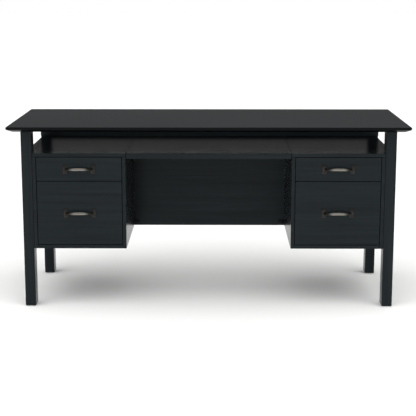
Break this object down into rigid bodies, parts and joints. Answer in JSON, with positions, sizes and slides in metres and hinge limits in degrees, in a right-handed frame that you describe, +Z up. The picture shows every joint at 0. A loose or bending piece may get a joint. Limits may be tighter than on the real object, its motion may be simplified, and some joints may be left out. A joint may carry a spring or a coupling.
{
  "type": "desk",
  "caption": "Double-pedestal desk on straight legs, with an open shelf under the top, a pull-out keyboard tray, drawers with bar pulls and a modesty panel.",
  "frame": {"origin": "on the floor, under the middle of the desk top", "axes": "+X to the right seen from the front, +Y to the back, +Z up"},
  "size_m": [1.676, 0.674, 0.778],
  "materials": {
    "desk_top": "black satin lacquer over fine straight grain",
    "black_wood": "black satin lacquer over fine straight grain",
    "drawer_wood": "dark stain, matt",
    "dark_metal": "dark bronze, satin"
  },
  "bodies": {
    "frame": {"case_left_back": "black_wood", "case_left_floor": "black_wood", "case_left_inner_side": "black_wood", "case_left_outer_side": "black_wood", "case_left_top": "black_wood", "case_right_back": "black_wood", "case_right_floor": "black_wood", "case_right_inner_side": "black_wood", "case_right_outer_side": "black_wood", "case_right_top": "black_wood", "drawer_left_lower_left_runner": "drawer_wood", "drawer_left_lower_right_runner": "drawer_wood", "drawer_left_upper_left_runner": "drawer_wood", "drawer_left_upper_right_runner": "drawer_wood", "drawer_right_lower_left_runner": "drawer_wood", "drawer_right_lower_right_runner": "drawer_wood", "drawer_right_upper_left_runner": "drawer_wood", "drawer_right_upper_right_runner": "drawer_wood", "leg_back_left": "black_wood", "leg_back_right": "black_wood", "leg_front_left": "black_wood", "leg_front_right": "black_wood", "modesty_bracket_left": "dark_metal", "modesty_bracket_right": "dark_metal", "modesty_panel": "black_wood", "shelf_back_rail": "black_wood", "shelf_centre_back": "black_wood", "side_panel_left": "black_wood", "side_panel_right": "black_wood", "top_slab": "desk_top", "tray_rail_left": "dark_metal", "tray_rail_right": "dark_metal"},
    "keyboard_tray": {"tray_board": "black_wood", "tray_front_lip": "black_wood", "tray_runner_left": "dark_metal", "tray_runner_right": "dark_metal"},
    "drawer_left_upper": {"drawer_left_upper_front": "black_wood", "drawer_left_upper_left_side": "drawer_wood", "drawer_left_upper_right_side": "drawer_wood", "drawer_left_upper_back": "drawer_wood", "drawer_left_upper_bottom": "drawer_wood", "drawer_left_upper_pull": "dark_metal"},
    "drawer_left_lower": {"drawer_left_lower_front": "black_wood", "drawer_left_lower_left_side": "drawer_wood", "drawer_left_lower_right_side": "drawer_wood", "drawer_left_lower_back": "drawer_wood", "drawer_left_lower_bottom": "drawer_wood", "drawer_left_lower_pull": "dark_metal"},
    "drawer_right_upper": {"drawer_right_upper_front": "black_wood", "drawer_right_upper_left_side": "drawer_wood", "drawer_right_upper_right_side": "drawer_wood", "drawer_right_upper_back": "drawer_wood", "drawer_right_upper_bottom": "drawer_wood", "drawer_right_upper_pull": "dark_metal"},
    "drawer_right_lower": {"drawer_right_lower_front": "black_wood", "drawer_right_lower_left_side": "drawer_wood", "drawer_right_lower_right_side": "drawer_wood", "drawer_right_lower_back": "drawer_wood", "drawer_right_lower_bottom": "drawer_wood", "drawer_right_lower_pull": "dark_metal"}
  },
  "joints": [
    {"name": "keyboard_tray_slide", "type": "slide", "parent": "frame", "child": "keyboard_tray", "axis": [0, -1, 0], "range_m": [0, 0.3]},
    {"name": "drawer_left_upper_slide", "type": "slide", "parent": "frame", "child": "drawer_left_upper", "axis": [0, -1, 0], "range_m": [0, 0.36]},
    {"name": "drawer_left_lower_slide", "type": "slide", "parent": "frame", "child": "drawer_left_lower", "axis": [0, -1, 0], "range_m": [0, 0.36]},
    {"name": "drawer_right_upper_slide", "type": "slide", "parent": "frame", "child": "drawer_right_upper", "axis": [0, -1, 0], "range_m": [0, 0.36]},
    {"name": "drawer_right_lower_slide", "type": "slide", "parent": "frame", "child": "drawer_right_lower", "axis": [0, -1, 0], "range_m": [0, 0.36]}
  ]
}
